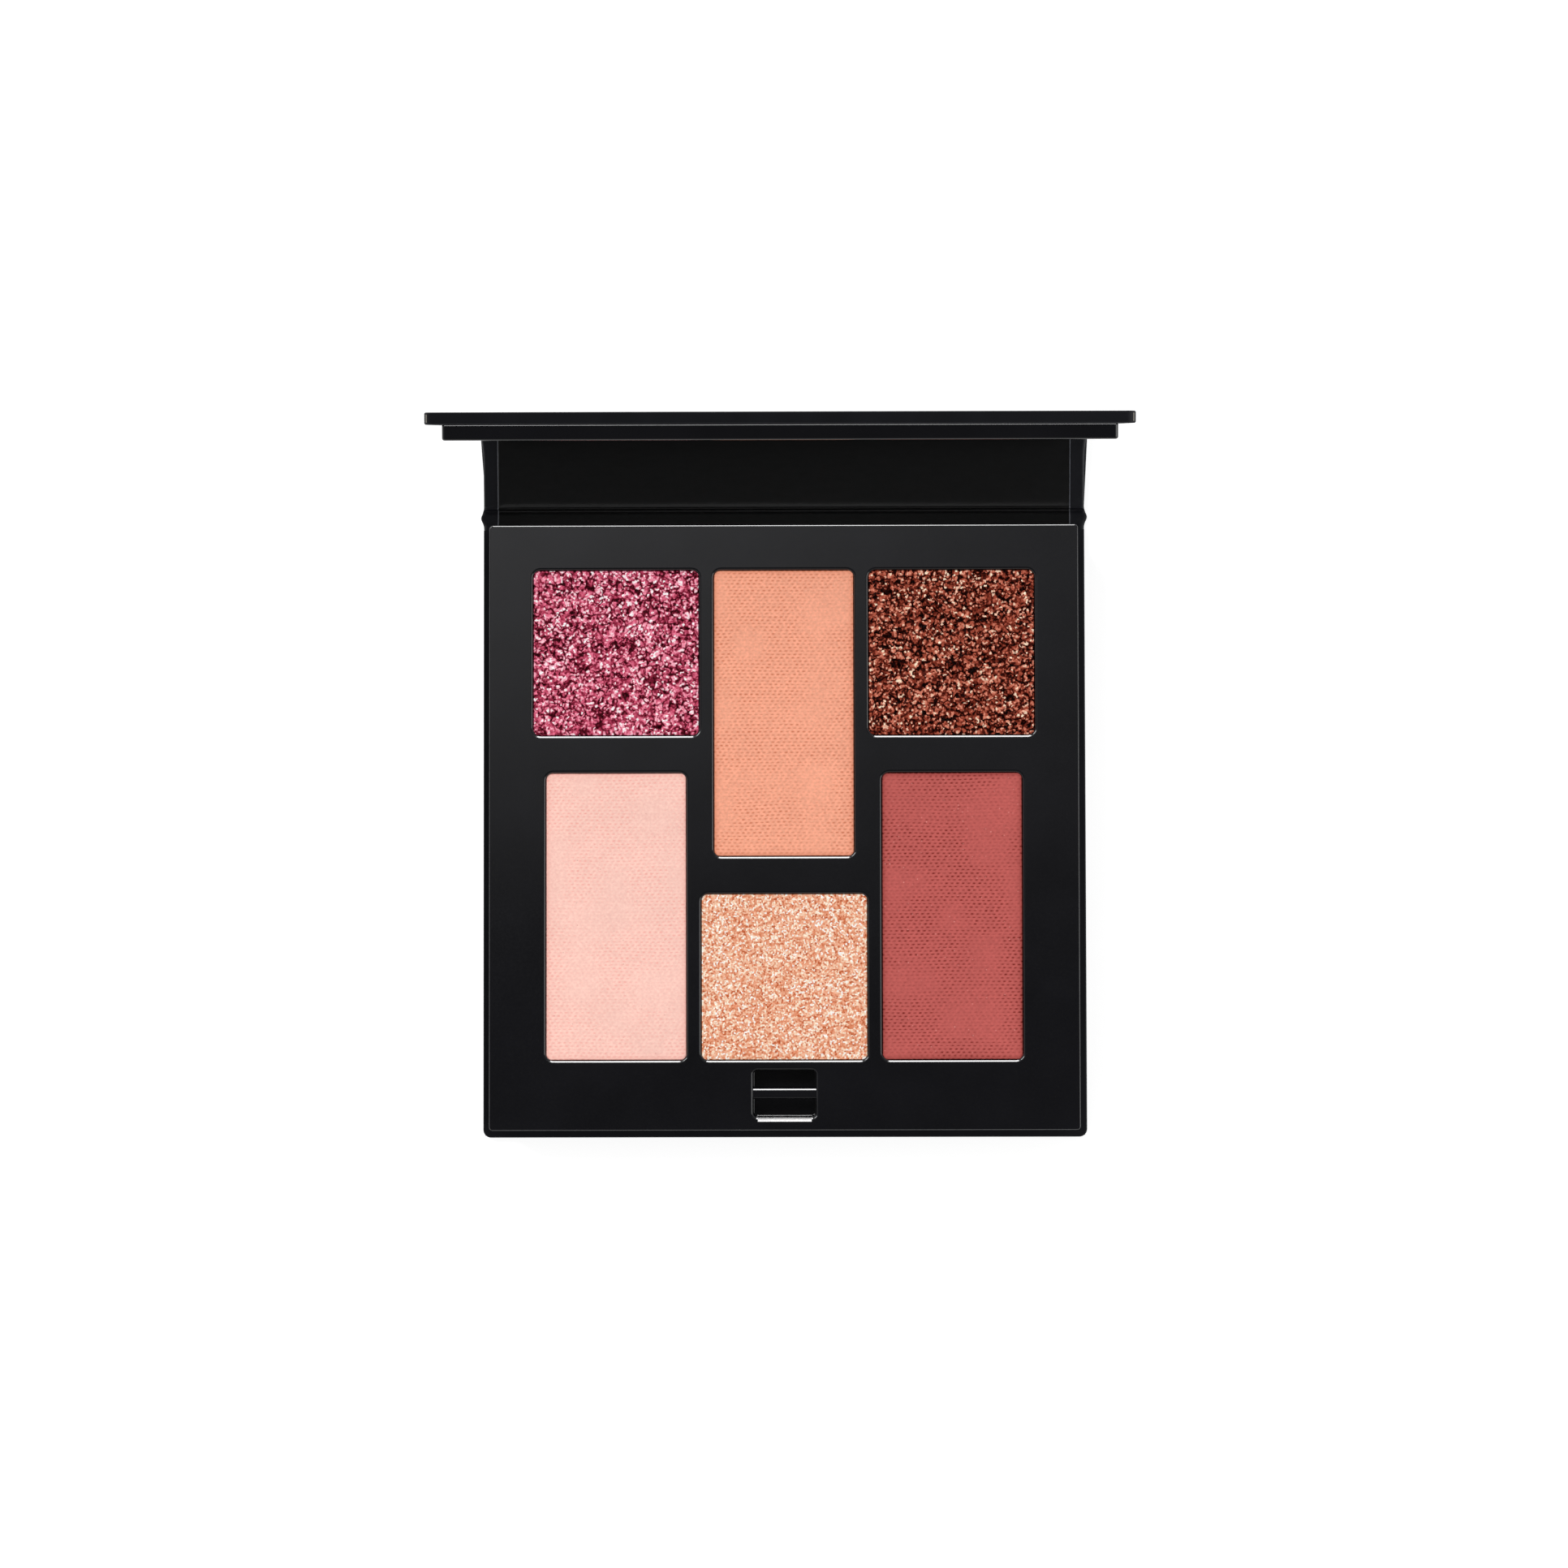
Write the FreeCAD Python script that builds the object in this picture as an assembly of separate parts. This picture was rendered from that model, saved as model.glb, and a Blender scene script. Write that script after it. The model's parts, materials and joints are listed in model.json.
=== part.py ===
import FreeCAD, Part
import math
import os

V = FreeCAD.Vector

# Eyeshadow palette, in millimetres. +Z is up, +X is to the right and -Y is the front.
# The origin is the centre of the base panel's underside.
# Spine and lid are built closed, square over the tray, and then swung open about the base fold.

# Cover panels: greyboard in a soft paper wrap
panel_w = 80.0
panel_d = 80.7
board_t = 0.9
wrap_t = 0.25
turn_in = 8.0
fold_turn = 2.5
panel_corner = 1.05
panel_edge = 0.2
liner_gap = 1.9
liner_t = 0.15
hinge_clear = 0.15
open_deg = 82.75
fold_r = 0.6

# Tray moulding
tray_h = 8.9
tray_side_gap = 1.5
tray_front_gap = 1.4
tray_back_gap = 0.3
tray_wall = 1.2
tray_plate = 1.3
tray_corner = 0.45
tray_edge = 0.14
rim_edge = 0.35
well_wall = 0.7
well_floor = 0.9
rib_t = 0.8
glue_t = 0.1
glue_inset = 2.0

# Openings for the pans: a square and a tall rectangle in each column
tall_w = 18.36
square_d = 21.65
side_margin = 5.72
back_margin = 5.9
front_margin = 9.1
col_gap = 1.9
row_gap = 4.9
opening_r = 1.0

# Pans and powder cakes
pan_clear = 0.08
pan_wall = 0.2
pan_h = 3.4
pan_foot_r = 0.4
rim_drop = 0.65
cake_drop = 0.3
cake_clear = 0.06
cake_edge = 0.14

# Catch: a bar across a well in the tray
latch_w = 8.2
latch_d = 6.15
latch_depth = 3.0
latch_front = 1.68
latch_r = 0.6
latch_floor_r = 0.15
latch_chamfer = 0.57
bar_t = 1.4
bar_h = 0.7
bar_drop = 0.25
bar_edge = 0.35

# Mirror and its frame
frame_t = 1.78
frame_side_gap = 1.9
frame_front_gap = 1.4
frame_back_gap = 0.3
frame_corner = 0.45
frame_edge = 0.28
frame_back_edge = 0.16
frame_side = 2.6
frame_hinge_side = 3.2
frame_free_side = 9.2
glass_t = 1.0
glass_clear = 0.1
glass_bevel = 0.25
glass_r = 0.8
closed_gap = 0.3

panel_t = board_t + 2 * wrap_t
crease_half = panel_t + hinge_clear
base_back = panel_d / 2
axis_y = base_back + crease_half
axis_z = wrap_t / 2
tray_z0 = panel_t + glue_t
tray_top = tray_z0 + tray_h
tray_w = panel_w - 2 * tray_side_gap
tray_y0 = -panel_d / 2 + tray_front_gap
tray_y1 = base_back - tray_back_gap
square_w = (tray_w - tall_w) / 2 - side_margin - col_gap
tall_d = tray_y1 - tray_y0 - back_margin - front_margin - row_gap - square_d
col_pitch = (square_w + tall_w) / 2 + col_gap
frame_z0 = tray_top + closed_gap
lid_z1 = frame_z0 + frame_t + panel_t
axis_span = lid_z1 - wrap_t / 2 - axis_z
spine_d = axis_span - 2 * crease_half


def box(x0, x1, y0, y1, z0, z1):
    return Part.makeBox(x1 - x0, y1 - y0, z1 - z0, V(x0, y0, z0))


def slab(x0, x1, y0, y1, z0, z1, r):
    """Block with its four upright edges rounded."""
    plain = box(x0, x1, y0, y1, z0, z1)
    return plain.makeFillet(r, upright(plain))


def upright(shape):
    return [e for e in shape.Edges if e.BoundBox.ZLength > 0.5 * shape.BoundBox.ZLength]


def level(shape, z):
    """Edges that lie at one height."""
    found = []
    for e in shape.Edges:
        bb = e.BoundBox
        if abs(bb.ZMin - z) < 1e-4 and abs(bb.ZMax - z) < 1e-4:
            found.append(e)
    return found


def profile_x(points, x0, x1):
    """Outline in the YZ plane, drawn out along X."""
    pts = [V(x0, y, z) for y, z in points]
    face = Part.Face(Part.makePolygon(pts + [pts[0]]))
    return face.extrude(V(x1 - x0, 0, 0))


def panel(depth, free_end):
    """Board and wrap of one cover panel, outer face down, fold edge on Y = 0.

    The wrap goes round every edge of the board, and leaves a window in the inner face.
    A panel with a free end has rounded corners there, and a spine strip has a fold at both ends.
    """
    half = panel_w / 2
    outer = box(-half, half, 0, depth, 0, panel_t)
    if free_end:
        corners = [e for e in upright(outer) if e.BoundBox.YMin > depth - 1e-3]
        outer = outer.makeFillet(panel_corner, corners)
    soft = []
    for e in level(outer, 0) + level(outer, panel_t):
        bb = e.BoundBox
        at_fold = bb.YMax < 1e-3
        at_end = bb.YMin > depth - 1e-3
        into_fold = bb.ZMax < panel_t / 2 and (at_fold or (at_end and not free_end))
        if not into_fold:
            soft.append(e)
    outer = outer.makeFillet(panel_edge, soft)
    core = half - wrap_t
    board = box(-core, core, wrap_t, depth - wrap_t, wrap_t, panel_t - wrap_t)
    far = depth - (turn_in if free_end else fold_turn)
    window = box(-half + turn_in, half - turn_in, fold_turn, far, panel_t - wrap_t, panel_t)
    return board, outer.cut(board).cut(window), window


def put(shape, angle, y, z):
    """Turn a shape about X and then move it."""
    out = shape.copy()
    out.rotate(V(0, 0, 0), V(1, 0, 0), angle)
    out.translate(V(0, y, z))
    return out


def swing(shape):
    """From closed to standing open, about the base fold."""
    out = shape.copy()
    out.rotate(V(0, axis_y, axis_z), V(1, 0, 0), -open_deg)
    return out


def fold(start, bend, end, r):
    """Paper strip of the wrap's thickness through three points in the YZ plane, rounded at the bend."""
    a = V(0, *start)
    b = V(0, *bend)
    c = V(0, *end)
    u = (a - b).normalize()
    w = (c - b).normalize()
    turn = math.pi - u.getAngle(w)
    n1 = V(0, -u.z, u.y)
    if n1.dot(w) < 0:
        n1 = n1.negative()
    n2 = V(0, -w.z, w.y)
    if n2.dot(u) < 0:
        n2 = n2.negative()
    set_back = r * math.tan(turn / 2)
    t1 = b + u * set_back
    t2 = b + w * set_back
    centre = t1 + n1 * r
    mid = (t1 + t2) * 0.5 - centre
    mid.normalize()
    h = wrap_t / 2
    sides = []
    for s in (h, -h):
        p = [a + n1 * s, t1 + n1 * s, centre + mid * (r - s), t2 + n2 * s, c + n2 * s]
        sides.append(p)
    inner, outer = sides
    edges = [
        Part.makeLine(inner[0], inner[1]),
        Part.Arc(inner[1], inner[2], inner[3]).toShape(),
        Part.makeLine(inner[3], inner[4]),
        Part.makeLine(inner[4], outer[4]),
        Part.makeLine(outer[4], outer[3]),
        Part.Arc(outer[3], outer[2], outer[1]).toShape(),
        Part.makeLine(outer[1], outer[0]),
        Part.makeLine(outer[0], inner[0]),
    ]
    strip = Part.Face(Part.Wire(edges)).extrude(V(panel_w, 0, 0))
    strip.translate(V(-panel_w / 2, 0, 0))
    return strip


def wells():
    """Name, X middle, Y limits and width of the six openings."""
    y_back = tray_y1 - back_margin
    found = []
    for side, col in (("left", -1), ("centre", 0), ("right", 1)):
        square = (square_w, square_d)
        tall = (tall_w, tall_d)
        back, front = (tall, square) if col == 0 else (square, tall)
        y = y_back
        for row, (w, d) in (("back", back), ("front", front)):
            found.append((row + "_" + side, col * col_pitch, y - d, y, w))
            y -= d + row_gap
    return found


def make_tray(openings):
    half = tray_w / 2
    floor_z = tray_top - rim_drop - pan_h - glue_t
    under = floor_z - well_floor
    tray = slab(-half, half, tray_y0, tray_y1, tray_z0, tray_top, tray_corner)
    hollow = box(
        -half + tray_wall,
        half - tray_wall,
        tray_y0 + tray_wall,
        tray_y1 - tray_wall,
        tray_z0,
        tray_top - tray_plate,
    )
    for _, x, y0, y1, w in openings:
        grow = w / 2 + well_wall
        hollow = hollow.cut(box(x - grow, x + grow, y0 - well_wall, y1 + well_wall, under, tray_top))
        # Crossed ribs hold each well floor off the base panel
        y = (y0 + y1) / 2
        for dx in (-w / 4, w / 4):
            hollow = hollow.cut(box(x + dx - rib_t / 2, x + dx + rib_t / 2, y0, y1, tray_z0, under))
        hollow = hollow.cut(box(x - w / 2, x + w / 2, y - rib_t / 2, y + rib_t / 2, tray_z0, under))
    ly0 = tray_y0 + latch_front
    ly1 = ly0 + latch_d
    lx = latch_w / 2
    lz = tray_top - latch_depth
    hollow = hollow.cut(
        box(-lx - well_wall, lx + well_wall, ly0, ly1 + well_wall, lz - well_floor, tray_top)
    )
    tray = tray.cut(hollow)
    for _, x, y0, y1, w in openings:
        tray = tray.cut(slab(x - w / 2, x + w / 2, y0, y1, floor_z, tray_top, opening_r))
    room = slab(-lx, lx, ly0, ly1, lz, tray_top, latch_r)
    tray = tray.cut(room.makeFillet(latch_floor_r, level(room, lz)))
    rims = level(tray, tray_top)
    front = [e for e in rims if abs(e.BoundBox.YMin - ly0) < 1e-3 and abs(e.BoundBox.YMax - ly0) < 1e-3]
    outline = []
    inner = []
    for e in rims:
        bb = e.BoundBox
        at_x = max(abs(bb.XMin), abs(bb.XMax)) > half - 1e-3
        at_y = bb.YMin < tray_y0 + 1e-3 or bb.YMax > tray_y1 - 1e-3
        if at_x or at_y:
            outline.append(e)
        elif not any(e.isSame(f) for f in front):
            inner.append(e)
    tray = tray.makeFillet(tray_edge, outline)
    wanted = [e.CenterOfMass for e in inner]
    rims = [e for e in level(tray, tray_top) if min((e.CenterOfMass - c).Length for c in wanted) < 1e-3]
    tray = tray.makeFillet(rim_edge, rims)
    ramp = profile_x(
        [
            (ly0 - latch_chamfer, tray_top),
            (ly0, tray_top),
            (ly0, tray_top - latch_chamfer),
        ],
        -lx + latch_r,
        lx - latch_r,
    )
    tray = tray.cut(ramp)
    bar_y = (ly0 + ly1) / 2
    bar_z = tray_top - bar_drop
    root = well_wall / 2
    bar = box(-lx - root, lx + root, bar_y - bar_t / 2, bar_y + bar_t / 2, bar_z - bar_h, bar_z)
    top = [e for e in level(bar, bar_z) if e.BoundBox.XLength > lx]
    bar = bar.makeFillet(bar_edge, top)
    return tray.fuse(bar).removeSplitter()


def make_pan(x, y0, y1, w):
    """Pressed tin cup, with the cake of powder that fills it and stands over its rim."""
    z1 = tray_top - rim_drop
    z0 = z1 - pan_h
    c = pan_clear
    outer = slab(x - w / 2 + c, x + w / 2 - c, y0 + c, y1 - c, z0, z1, opening_r - c)
    outer = outer.makeFillet(pan_foot_r, level(outer, z0))
    c += pan_wall
    room = slab(x - w / 2 + c, x + w / 2 - c, y0 + c, y1 - c, z0 + pan_wall, z1, opening_r - c)
    room = room.makeChamfer(pan_foot_r - pan_wall, level(room, z0 + pan_wall))
    top = tray_top - cake_drop
    c = cake_clear
    head = slab(x - w / 2 + c, x + w / 2 - c, y0 + c, y1 - c, z1, top, opening_r - c)
    head = head.makeFillet(cake_edge, level(head, top))
    return outer.cut(room), room.fuse(head).removeSplitter()


def make_frame():
    """Mirror frame, mirror and its glue, as they lie closed: face down over the tray."""
    half = panel_w / 2 - frame_side_gap
    y0 = -panel_d / 2 + frame_front_gap
    y1 = base_back - frame_back_gap
    z1 = frame_z0 + frame_t
    frame = slab(-half, half, y0, y1, frame_z0, z1, frame_corner)
    frame = frame.makeFillet(frame_edge, level(frame, frame_z0))
    frame = frame.makeFillet(frame_back_edge, level(frame, z1))
    gx = half - frame_side
    gy0 = y0 + frame_free_side
    gy1 = y1 - frame_hinge_side
    deep = glass_t + glue_t
    room = slab(-gx, gx, gy0, gy1, frame_z0, frame_z0 + deep, glass_r)
    frame = frame.cut(room)
    c = glass_clear
    glass = slab(-gx + c, gx - c, gy0 + c, gy1 - c, frame_z0, frame_z0 + glass_t, glass_r - c)
    glass = glass.makeChamfer(glass_bevel, level(glass, frame_z0))
    z_glue = frame_z0 + glass_t
    c += glue_inset
    glue = slab(-gx + c, gx - c, gy0 + c, gy1 - c, z_glue, z_glue + glue_t, glass_r)
    return frame, glass, glue


nodes = {}

board, wrap, window = panel(panel_d, True)
for name, shape in (("base_board", board), ("base_wrap", wrap)):
    turned = shape.copy()
    turned.rotate(V(0, 0, 0), V(0, 0, 1), 180)
    turned.translate(V(0, base_back, 0))
    nodes[name] = turned

lid = (("lid_board", board), ("lid_wrap", wrap), ("lid_adhesive", window))
for name, shape in lid:
    nodes[name] = swing(put(shape, 180, base_back, lid_z1))

board, wrap, window = panel(spine_d, False)
liner_x = panel_w / 2 - liner_gap
liner = box(-liner_x, liner_x, panel_edge, spine_d - panel_edge, panel_t, panel_t + liner_t)
liner = liner.fuse(window).removeSplitter()
for name, shape in (("spine_board", board), ("spine_wrap", wrap), ("spine_liner", liner)):
    nodes[name] = swing(put(shape, 90, axis_y + wrap_t / 2, axis_z + crease_half))

lean = math.radians(90 - open_deg)
along = (math.cos(lean), math.sin(lean))
axis1 = (axis_y, axis_z)
axis2 = (axis_y + axis_span * along[0], axis_z + axis_span * along[1])
nodes["base_crease"] = fold(
    (base_back, axis_z),
    axis1,
    (axis1[0] + crease_half * along[0], axis1[1] + crease_half * along[1]),
    fold_r,
)
nodes["lid_crease"] = fold(
    (axis2[0] - crease_half * along[0], axis2[1] - crease_half * along[1]),
    axis2,
    (axis2[0] - crease_half * along[1], axis2[1] + crease_half * along[0]),
    fold_r,
)

openings = wells()
nodes["tray"] = make_tray(openings)
band = slab(-tray_w / 2, tray_w / 2, tray_y0, tray_y1, panel_t, tray_z0, tray_corner)
band_in = tray_wall + glue_inset
nodes["tray_adhesive"] = band.cut(
    box(
        -tray_w / 2 + band_in,
        tray_w / 2 - band_in,
        tray_y0 + band_in,
        tray_y1 - band_in,
        panel_t,
        tray_z0,
    )
)

cakes = {
    "back_left": "powder_pink_glitter",
    "back_centre": "powder_orange",
    "back_right": "powder_brown_glitter",
    "front_left": "powder_pale_pink",
    "front_centre": "powder_champagne",
    "front_right": "powder_red",
}
pads = []
pad_z = tray_top - rim_drop - pan_h - glue_t
for where, x, y0, y1, w in openings:
    pan, cake = make_pan(x, y0, y1, w)
    nodes["pan_" + where] = pan
    nodes[cakes[where]] = cake
    m = glue_inset
    pads.append(slab(x - w / 2 + m, x + w / 2 - m, y0 + m, y1 - m, pad_z, pad_z + glue_t, opening_r))
nodes["pan_adhesive"] = Part.makeCompound(pads)

frame, glass, glue = make_frame()
nodes["mirror_frame"] = swing(frame)
nodes["mirror_glass"] = swing(glass)
nodes["mirror_adhesive"] = swing(glue)

os.makedirs("parts", exist_ok=True)
for name, shape in nodes.items():
    shape.exportStep("parts/" + name + ".step")
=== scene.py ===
import json
import math

import bmesh
import bpy
import numpy as np
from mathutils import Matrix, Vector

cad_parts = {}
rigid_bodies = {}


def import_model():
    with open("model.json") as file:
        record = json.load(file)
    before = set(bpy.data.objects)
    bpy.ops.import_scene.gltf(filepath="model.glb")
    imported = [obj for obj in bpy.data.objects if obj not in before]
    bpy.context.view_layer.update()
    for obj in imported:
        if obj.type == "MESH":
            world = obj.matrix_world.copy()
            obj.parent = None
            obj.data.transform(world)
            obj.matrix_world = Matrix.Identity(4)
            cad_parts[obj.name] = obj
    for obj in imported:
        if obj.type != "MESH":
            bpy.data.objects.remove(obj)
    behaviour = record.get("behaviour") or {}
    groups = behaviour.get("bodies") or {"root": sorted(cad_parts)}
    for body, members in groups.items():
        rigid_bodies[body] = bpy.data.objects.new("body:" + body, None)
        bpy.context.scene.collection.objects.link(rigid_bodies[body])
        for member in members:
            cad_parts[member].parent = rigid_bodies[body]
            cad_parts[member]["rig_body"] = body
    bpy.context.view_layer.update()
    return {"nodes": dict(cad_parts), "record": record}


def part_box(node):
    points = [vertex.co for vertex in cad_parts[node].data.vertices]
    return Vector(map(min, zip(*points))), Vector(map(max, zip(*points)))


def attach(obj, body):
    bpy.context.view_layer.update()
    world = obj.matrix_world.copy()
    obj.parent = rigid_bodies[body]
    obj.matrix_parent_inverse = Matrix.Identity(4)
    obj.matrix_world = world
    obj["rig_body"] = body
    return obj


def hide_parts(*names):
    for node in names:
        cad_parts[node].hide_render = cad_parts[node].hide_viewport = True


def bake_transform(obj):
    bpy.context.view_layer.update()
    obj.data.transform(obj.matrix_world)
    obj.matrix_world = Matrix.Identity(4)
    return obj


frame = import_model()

bl_info = {
    "name": "Eyeshadow palette looks",
    "version": (1, 0, 0),
    "blender": (4, 5, 0),
    "location": "3D View > Sidebar > Palette",
    "description": "Dresses the packed eyeshadow palette: cover, gloss tray, pans and pressed powders",
    "category": "Object",
}

MM = 0.001
SEED = 4127

# Sizes of the random tables: a pattern repeats after that many of its cells
NOISE_ROWS, NOISE_COLUMNS = 97, 89
SPOT_ROWS, SPOT_COLUMNS = 101, 103
SPOTS = SPOT_ROWS * SPOT_COLUMNS

# Camera of the photograph: lens and film width in mm, place in mm, turn in degrees
LENS, FILM = 88.94, 36.0
CAMERA_PLACE = (2.69, -12.96, 515.8)
CAMERA_TURN = (2.162, 0.31, -0.12)

# Softboxes: place, width and height in metres, and radiance
LAMPS = {
    "key": ((-0.46, 0.44, 0.7), 0.34, 0.34, 13.0),
    "fill": ((0.75, -0.1, 0.55), 0.5, 0.5, 2.5),
    "strip": ((0.0, 0.5, 0.52), 0.24, 1.04, 22.0),
    "band": ((0.0, 0.55, 0.6), 1.3, 0.35, 12.0),
    "panel": ((0.0, 0.15, 1.0), 0.6, 0.5, 1.0),
    "above": ((0.0, -0.05, 1.0), 0.7, 0.5, 0.16),
}

# White sweep: half its width and its drop below the part in metres, its grey, and its glow to the eye
FLOOR_REACH, FLOOR_DROP = 4.0, 0.05 * MM
FLOOR_GREY, FLOOR_GLOW = 0.5, 0.74

# Level of the studio round the palette: on dull surfaces, and in gloss from the zenith down to the horizon
SKY_DULL = 0.55
SKY_ZENITH, SKY_MIDDLE, SKY_HORIZON = 0.04, 0.35, 1.0

# Sockets of a mix node: its two values, its two colours, and the output of a colour mix
VALUE_A, VALUE_B = 2, 3
COLOUR_A, COLOUR_B, COLOUR_OUT = 6, 7, 2


def linear(hex_colour):
    """sRGB hex to linear RGB."""
    values = [int(hex_colour[i:i + 2], 16) / 255 for i in (1, 3, 5)]
    return tuple(v / 12.92 if v <= 0.04045 else ((v + 0.055) / 1.055) ** 2.4 for v in values)


def colour_prop(name, hex_colour, description):
    return bpy.props.FloatVectorProperty(
        name=name, description=description, subtype="COLOR", size=3, min=0, max=1, default=linear(hex_colour))


def length_prop(name, millimetres, description):
    return bpy.props.FloatProperty(
        name=name, description=description, unit="LENGTH", min=0, precision=5, default=millimetres * MM)


class PaletteColours(bpy.types.PropertyGroup):
    """Colours of the finishes"""
    wrap: colour_prop("Wrap", "#16171d", "Soft-touch black paper round the boards")
    liner: colour_prop("Liner", "#0b0b0c", "Black paper inside the spine")
    # Pale grey painted as the highlight along the liner's cut edges
    liner_edge_highlight: colour_prop("Liner core", "#74767e", "Pale core that shows along the liner's cut edges")
    moulding: colour_prop("Moulding", "#08080a", "Gloss black plastic of tray and mirror frame")
    pink: colour_prop("Pink glitter", "#c34a67", "Middle tone of the pink glitter cake")
    brown: colour_prop("Brown glitter", "#7e3020", "Middle tone of the brown glitter cake")
    champagne: colour_prop("Champagne", "#efb090", "Middle tone of the champagne cake")
    orange: colour_prop("Orange", "#f5a88b", "Matte orange cake")
    pale_pink: colour_prop("Pale pink", "#ffcabd", "Matte pale pink cake")
    red: colour_prop("Red", "#bd5c57", "Matte red cake")


class PaletteSizes(bpy.types.PropertyGroup):
    """Sizes of the surface detail"""
    press_across: length_prop("Press pitch across", 0.72, "Spacing of the press dimples along a row")
    press_down: length_prop("Press pitch down", 0.44, "Spacing of the rows of press dimples")
    press_depth: length_prop("Press depth", 0.035, "Depth of a press dimple")
    flake: length_prop("Flake", 0.27, "Width of one glitter flake")
    clump: length_prop("Clump", 1.0, "Width of a clump of glitter flakes")
    shimmer: length_prop("Shimmer", 0.2, "Width of one flake in the champagne cake")
    fold_knot: length_prop("Fold knot", 0.45, "How far the gathered wrap stands out at a fold's ends")


def node(tree, kind, inputs=None, ramp=None, **settings):
    """Adds one node. An input is a value, or the output socket of another node."""
    made = tree.nodes.new(kind)
    for key, value in settings.items():
        setattr(made, key, value)
    for key, value in (inputs or {}).items():
        if isinstance(value, bpy.types.NodeSocket):
            tree.links.new(value, made.inputs[key])
        else:
            made.inputs[key].default_value = value
    if ramp:
        stops = made.color_ramp.elements
        while len(stops) < len(ramp):
            stops.new(1.0)
        for stop, (place, colour) in zip(stops, ramp):
            stop.position = place
            stop.color = (*colour, 1.0)
    return made


def shade(colour, factor):
    """A colour made darker or lighter."""
    return tuple(min(1.0, c * factor) for c in colour)


def new_material(name):
    """A material with its shader node and the object's own coordinates, in metres."""
    made = bpy.data.materials.new(name)
    made.use_nodes = True
    tree = made.node_tree
    shader = tree.nodes["Principled BSDF"]
    place = tree.nodes.new("ShaderNodeTexCoord").outputs["Object"]
    return made, tree, shader, place


def per_mm(millimetres):
    """Texture scale for a feature of that width."""
    return 1.0 / (millimetres * MM)


def dress(names, material):
    """Gives each named node one material."""
    for name in names:
        slots = frame["nodes"][name].data.materials
        slots.clear()
        slots.append(material)


def pan_names():
    return [name for name in frame["nodes"] if name.startswith("pan_") and name != "pan_adhesive"]


def colours():
    return bpy.context.scene.palette_colours


def sizes():
    return bpy.context.scene.palette_sizes


def piece(name, points, faces, materials, replaced, body=None):
    """A new mesh piece in the row frame that stands for one CAD node."""
    mesh = bpy.data.meshes.new(name)
    mesh.from_pydata(points.tolist(), [], faces)
    for material in materials:
        mesh.materials.append(material)
    mesh.validate()
    shell = bmesh.new()
    shell.from_mesh(mesh)
    bmesh.ops.recalc_face_normals(shell, faces=shell.faces)
    shell.to_mesh(mesh)
    shell.free()
    made = bpy.data.objects.new(name, mesh)
    bpy.context.scene.collection.objects.link(made)
    if body:
        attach(made, body)
    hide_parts(replaced)
    return made


# Cover materials

def soft_touch_wrap():
    """Soft-touch laminated paper, rolled: a dull black sheet with a faint leather-like grain."""
    made, tree, shader, place = new_material("soft_touch_laminated_paper")
    base = tuple(colours().wrap)
    cloud = node(tree, "ShaderNodeTexNoise", {"Vector": place, "Scale": per_mm(4.0), "Detail": 4.0})
    grain = node(tree, "ShaderNodeTexNoise", {"Vector": place, "Scale": per_mm(0.45), "Detail": 3.0})
    tint = node(tree, "ShaderNodeValToRGB", {"Fac": cloud.outputs["Fac"]},
                ramp=[(0.3, shade(base, 0.9)), (0.7, shade(base, 1.12))])
    rough = node(tree, "ShaderNodeMapRange",
                 {"Value": cloud.outputs["Fac"], "From Min": 0.3, "From Max": 0.7,
                  "To Min": 0.53, "To Max": 0.57})
    bump = node(tree, "ShaderNodeBump",
                {"Height": grain.outputs["Fac"], "Strength": 0.35, "Distance": 0.04 * MM})
    tree.links.new(tint.outputs["Color"], shader.inputs["Base Color"])
    tree.links.new(rough.outputs["Result"], shader.inputs["Roughness"])
    tree.links.new(bump.outputs["Normal"], shader.inputs["Normal"])
    shader.inputs["IOR"].default_value = 1.45
    shader.inputs["Specular IOR Level"].default_value = 0.3
    return made


def liner_paper():
    """Coated black paper, calendered: smoother than the wrap, with a faint run along the strip."""
    made, tree, shader, place = new_material("coated_black_paper")
    base = tuple(colours().liner)
    stretch = node(tree, "ShaderNodeMapping", {"Vector": place, "Scale": (0.25, 1.0, 1.0)})
    fibre = node(tree, "ShaderNodeTexNoise",
                 {"Vector": stretch.outputs["Vector"], "Scale": per_mm(0.6), "Detail": 4.0})
    tint = node(tree, "ShaderNodeValToRGB", {"Fac": fibre.outputs["Fac"]},
                ramp=[(0.35, shade(base, 0.85)), (0.65, shade(base, 1.15))])
    bump = node(tree, "ShaderNodeBump",
                {"Height": fibre.outputs["Fac"], "Strength": 0.12, "Distance": 0.02 * MM})
    tree.links.new(tint.outputs["Color"], shader.inputs["Base Color"])
    tree.links.new(bump.outputs["Normal"], shader.inputs["Normal"])
    shader.inputs["Roughness"].default_value = 0.42
    shader.inputs["Specular IOR Level"].default_value = 0.35
    return made


def edge_highlight_paper():
    """Coated paper, cut: a pale line painted along its cut edges as the highlight where light catches them.
    """
    made, tree, shader, place = new_material("cut_paper_core")
    core = tuple(colours().liner_edge_highlight)
    fibre = node(tree, "ShaderNodeTexNoise", {"Vector": place, "Scale": per_mm(0.8), "Detail": 4.0})
    tint = node(tree, "ShaderNodeValToRGB", {"Fac": fibre.outputs["Fac"]},
                ramp=[(0.3, shade(core, 0.7)), (0.65, core)])
    tree.links.new(tint.outputs["Color"], shader.inputs["Base Color"])
    shader.inputs["Roughness"].default_value = 0.85
    return made


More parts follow.
